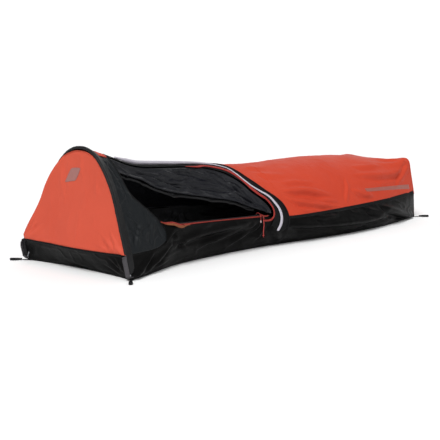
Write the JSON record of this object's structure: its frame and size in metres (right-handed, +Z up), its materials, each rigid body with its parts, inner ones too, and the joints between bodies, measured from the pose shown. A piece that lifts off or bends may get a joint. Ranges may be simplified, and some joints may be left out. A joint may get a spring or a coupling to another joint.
{
  "type": "bivy sack",
  "caption": "Single-hoop bivy sack with an orange cover, black tub floor, zipped side door turned back, mesh door, pole hoop and corner stake loops.",
  "frame": {"origin": "centre of the footprint, on the ground", "axes": "+X towards the foot, -Y towards the door side, +Z up"},
  "size_m": [2.2178, 0.7498, 0.5087],
  "materials": {
    "tub_fabric": "satin",
    "shell_orange": "matte",
    "shell_black": "matte",
    "lining": "satin",
    "binding_black": "matte",
    "reflective": "satin",
    "zip_red": "matte",
    "zip_grey": "matte",
    "mesh": "matte",
    "webbing_black": "matte",
    "webbing_grey": "matte",
    "pole_alloy": "satin",
    "elastic": "matte",
    "tip_plastic": "matte",
    "slider_metal": "satin",
    "pull_cord": "matte",
    "pull_end": "satin"
  },
  "bodies": {
    "tub": {"floor_sheet": "tub_fabric", "tub_wall_near": "tub_fabric", "tub_wall_far": "tub_fabric", "tub_corner_near": "tub_fabric", "tub_corner_far": "tub_fabric", "tub_wall_head": "tub_fabric", "tub_wall_foot": "tub_fabric", "foot_panel": "shell_orange", "cover_body": "shell_orange", "cover_head": "shell_orange", "gusset_near": "shell_black", "gusset_far": "shell_black", "cover_flap": "lining", "storm_flap": "binding_black", "flap_binding": "binding_black", "cover_seam_near": "binding_black", "cover_seam_far": "binding_black", "head_seam": "binding_black", "storm_piping": "reflective", "foot_strip": "reflective", "flap_zip_tape": "zip_red", "outer_zip_tape": "zip_red", "mesh_door_hem": "zip_grey", "mesh_zip_tape": "zip_grey", "mesh_door": "mesh", "stake_loop_tails": "webbing_black", "foot_guy_loops": "webbing_black", "pad_strap_head": "webbing_black", "pad_strap_foot": "webbing_black", "zip_end_stop": "tip_plastic"},
    "hoop": {"pole_sleeve": "shell_black", "pole_center": "pole_alloy", "pole_leg_near": "pole_alloy", "pole_leg_far": "pole_alloy", "pole_ferrules": "pole_alloy", "pole_tips": "tip_plastic", "shock_cord": "elastic", "pole_pocket_near": "webbing_grey", "pole_pocket_far": "webbing_grey", "head_panel": "shell_orange", "head_patch": "reflective"},
    "outer_slider": {"outer_slider": "slider_metal"},
    "outer_pull": {"outer_pull_tab": "slider_metal", "outer_pull_cord": "pull_cord", "outer_pull_knot": "pull_cord"},
    "mesh_slider": {"mesh_slider": "slider_metal", "mesh_pull_cord": "pull_cord", "mesh_pull_end": "pull_end"},
    "loop_head_near": {"stake_loop_head_near": "webbing_black"},
    "loop_head_far": {"stake_loop_head_far": "webbing_black"},
    "loop_foot_near": {"stake_loop_foot_near": "webbing_black"},
    "loop_foot_far": {"stake_loop_foot_far": "webbing_black"}
  },
  "joints": [
    {"name": "hoop_fold", "type": "hinge", "parent": "tub", "child": "hoop", "pos_m": [-1.056, 0, 0.004], "axis": [0, 1, 0], "range_deg": [0, 45], "deforming": ["cover_head", "gusset_near", "gusset_far", "cover_flap", "storm_flap", "storm_piping", "flap_binding", "flap_zip_tape", "mesh_door", "mesh_door_hem", "tub_corner_near", "tub_corner_far"]},
    {"name": "outer_zip_slide", "type": "slide", "parent": "tub", "child": "outer_slider", "axis": [-0.9988, 0, 0.0499], "range_m": [0, 0.47]},
    {"name": "outer_pull_swing", "type": "hinge", "parent": "outer_slider", "child": "outer_pull", "pos_m": [-0.2, -0.2696, 0.153], "axis": [-1, 0, 0], "range_deg": [0, 120]},
    {"name": "mesh_zip_slide", "type": "slide", "parent": "tub", "child": "mesh_slider", "axis": [-0.9988, 0, 0.0499], "range_m": [0, 0.425]},
    {"name": "loop_head_near_swing", "type": "hinge", "parent": "tub", "child": "loop_head_near", "pos_m": [-1.0698, -0.3358, 0.0008], "axis": [-0.7071, 0.7071, 0], "range_deg": [0, 60]},
    {"name": "loop_head_far_swing", "type": "hinge", "parent": "tub", "child": "loop_head_far", "pos_m": [-1.0698, 0.3358, 0.0008], "axis": [0.7071, 0.7071, 0], "range_deg": [0, 60]},
    {"name": "loop_foot_near_swing", "type": "hinge", "parent": "tub", "child": "loop_foot_near", "pos_m": [1.0698, -0.2538, 0.0008], "axis": [-0.7071, -0.7071, 0], "range_deg": [0, 60]},
    {"name": "loop_foot_far_swing", "type": "hinge", "parent": "tub", "child": "loop_foot_far", "pos_m": [1.0698, 0.2538, 0.0008], "axis": [0.7071, -0.7071, 0], "range_deg": [0, 60]}
  ]
}
